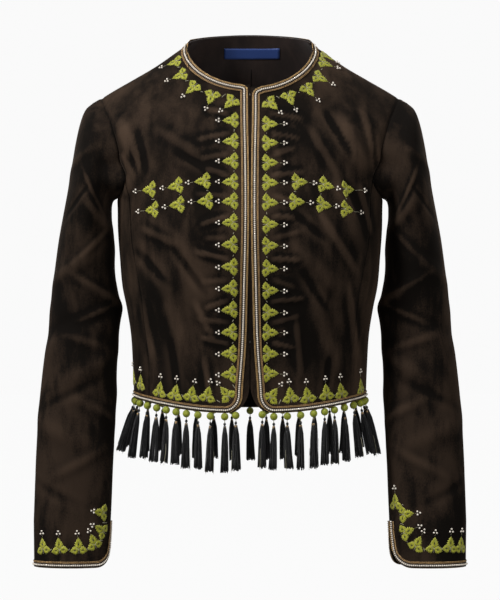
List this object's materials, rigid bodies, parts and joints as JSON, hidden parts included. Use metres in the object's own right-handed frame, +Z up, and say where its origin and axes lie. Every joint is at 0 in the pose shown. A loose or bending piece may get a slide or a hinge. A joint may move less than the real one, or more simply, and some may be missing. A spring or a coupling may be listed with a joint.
{
  "type": "jacket",
  "caption": "Cropped collarless velvet jacket in its worn form, with long set-in sleeves, vents at the cuffs, beaded braid on the edges and tassels along the hem.",
  "frame": {"origin": "between the shoulders, at the height of the neck points, where the jacket hangs on its wearer", "axes": "+Z up along the wearer, -Y towards the front, +X towards the wearer's left"},
  "size_m": [0.5816, 0.2339, 0.7195],
  "materials": {
    "velvet": "dark brown velvet with a soft nap",
    "lining": "dark brown smooth lining",
    "braid": "two gold braids with a row of white beads between them",
    "label": "plain dark blue woven label",
    "hook": "steel wire",
    "tassel": "black thread tassel under a ball of green thread"
  },
  "bodies": {
    "root": {"front_right": "velvet", "front_left": "velvet", "side_front_right": "velvet", "side_front_left": "velvet", "back": "velvet", "sleeve_right": "velvet", "sleeve_left": "velvet", "trim_front_right": "braid", "trim_front_left": "braid", "trim_cuff_right": "braid", "trim_cuff_left": "braid", "trim_back_neck": "braid", "trim_back_hem": "braid", "lining_back": "lining", "neck_label": "label", "hook_neck": "hook", "eye_neck": "hook", "hook_waist": "hook", "eye_waist": "hook", "tassel_01": "tassel", "tassel_02": "tassel", "tassel_03": "tassel", "tassel_04": "tassel", "tassel_05": "tassel", "tassel_06": "tassel", "tassel_07": "tassel", "tassel_08": "tassel", "tassel_09": "tassel", "tassel_10": "tassel", "tassel_11": "tassel", "tassel_12": "tassel", "tassel_13": "tassel", "tassel_14": "tassel", "tassel_15": "tassel", "tassel_16": "tassel", "tassel_17": "tassel", "tassel_18": "tassel", "tassel_19": "tassel", "tassel_20": "tassel", "tassel_21": "tassel", "tassel_22": "tassel", "tassel_23": "tassel", "tassel_24": "tassel", "tassel_25": "tassel", "tassel_26": "tassel", "tassel_27": "tassel", "tassel_28": "tassel", "tassel_29": "tassel", "tassel_30": "tassel", "tassel_31": "tassel", "tassel_32": "tassel", "tassel_33": "tassel", "tassel_34": "tassel", "tassel_35": "tassel", "tassel_36": "tassel", "tassel_37": "tassel", "tassel_38": "tassel", "tassel_39": "tassel", "tassel_40": "tassel"}
  },
  "joints": []
}
